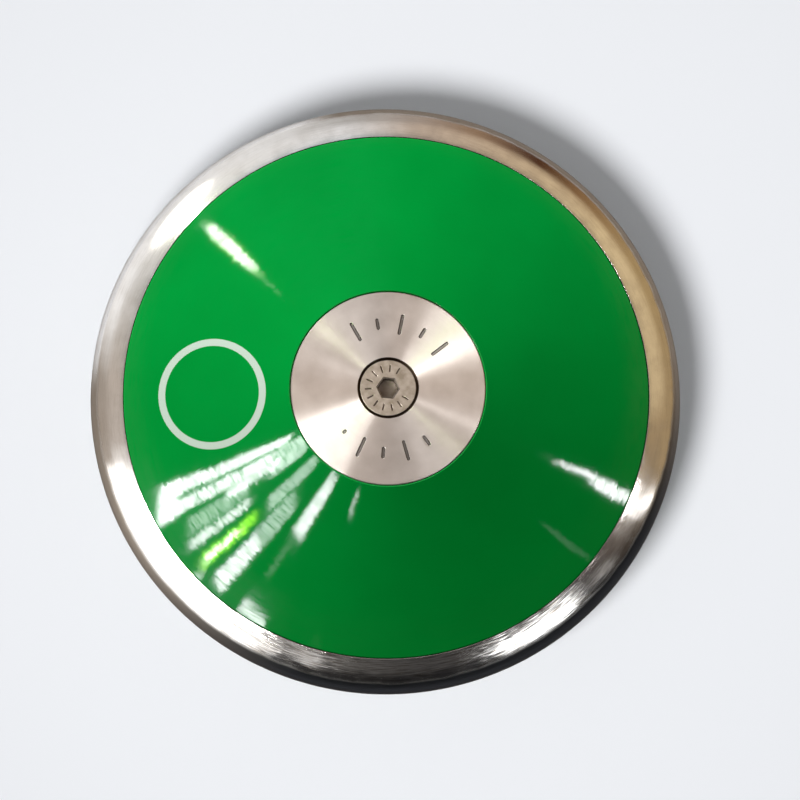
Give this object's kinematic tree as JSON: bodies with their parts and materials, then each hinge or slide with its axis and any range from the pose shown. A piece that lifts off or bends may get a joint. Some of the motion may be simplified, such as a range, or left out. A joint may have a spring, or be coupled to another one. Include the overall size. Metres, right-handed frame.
{
  "type": "discus",
  "caption": "Throwing discus: a rounded steel rim clamping two tapered moulded side plates, with turned centre plates held by countersunk socket screws.",
  "frame": {"origin": "centre of the discus, on its axis of spin and half way between its two faces", "axes": "+Z along the axis of spin, out of the upper face; +X and +Y lie in the plane of the rim"},
  "size_m": [0.17, 0.17, 0.034],
  "materials": {
    "rim_steel": "polished, with fine turning lines",
    "green_plastic": "glossy, with fine concentric turning lines",
    "centre_aluminium": "faced on a lathe, satin",
    "screw_steel": "stainless, satin",
    "core_steel": "zinc plated"
  },
  "bodies": {
    "root": {"rim": "rim_steel", "core": "core_steel", "upper_side_plate": "green_plastic", "upper_centre_plate": "centre_aluminium", "upper_screw": "screw_steel", "lower_side_plate": "green_plastic", "lower_centre_plate": "centre_aluminium", "lower_screw": "screw_steel", "trim_washer_1": "core_steel", "trim_washer_2": "core_steel", "trim_washer_3": "core_steel", "trim_washer_4": "core_steel"}
  },
  "joints": []
}
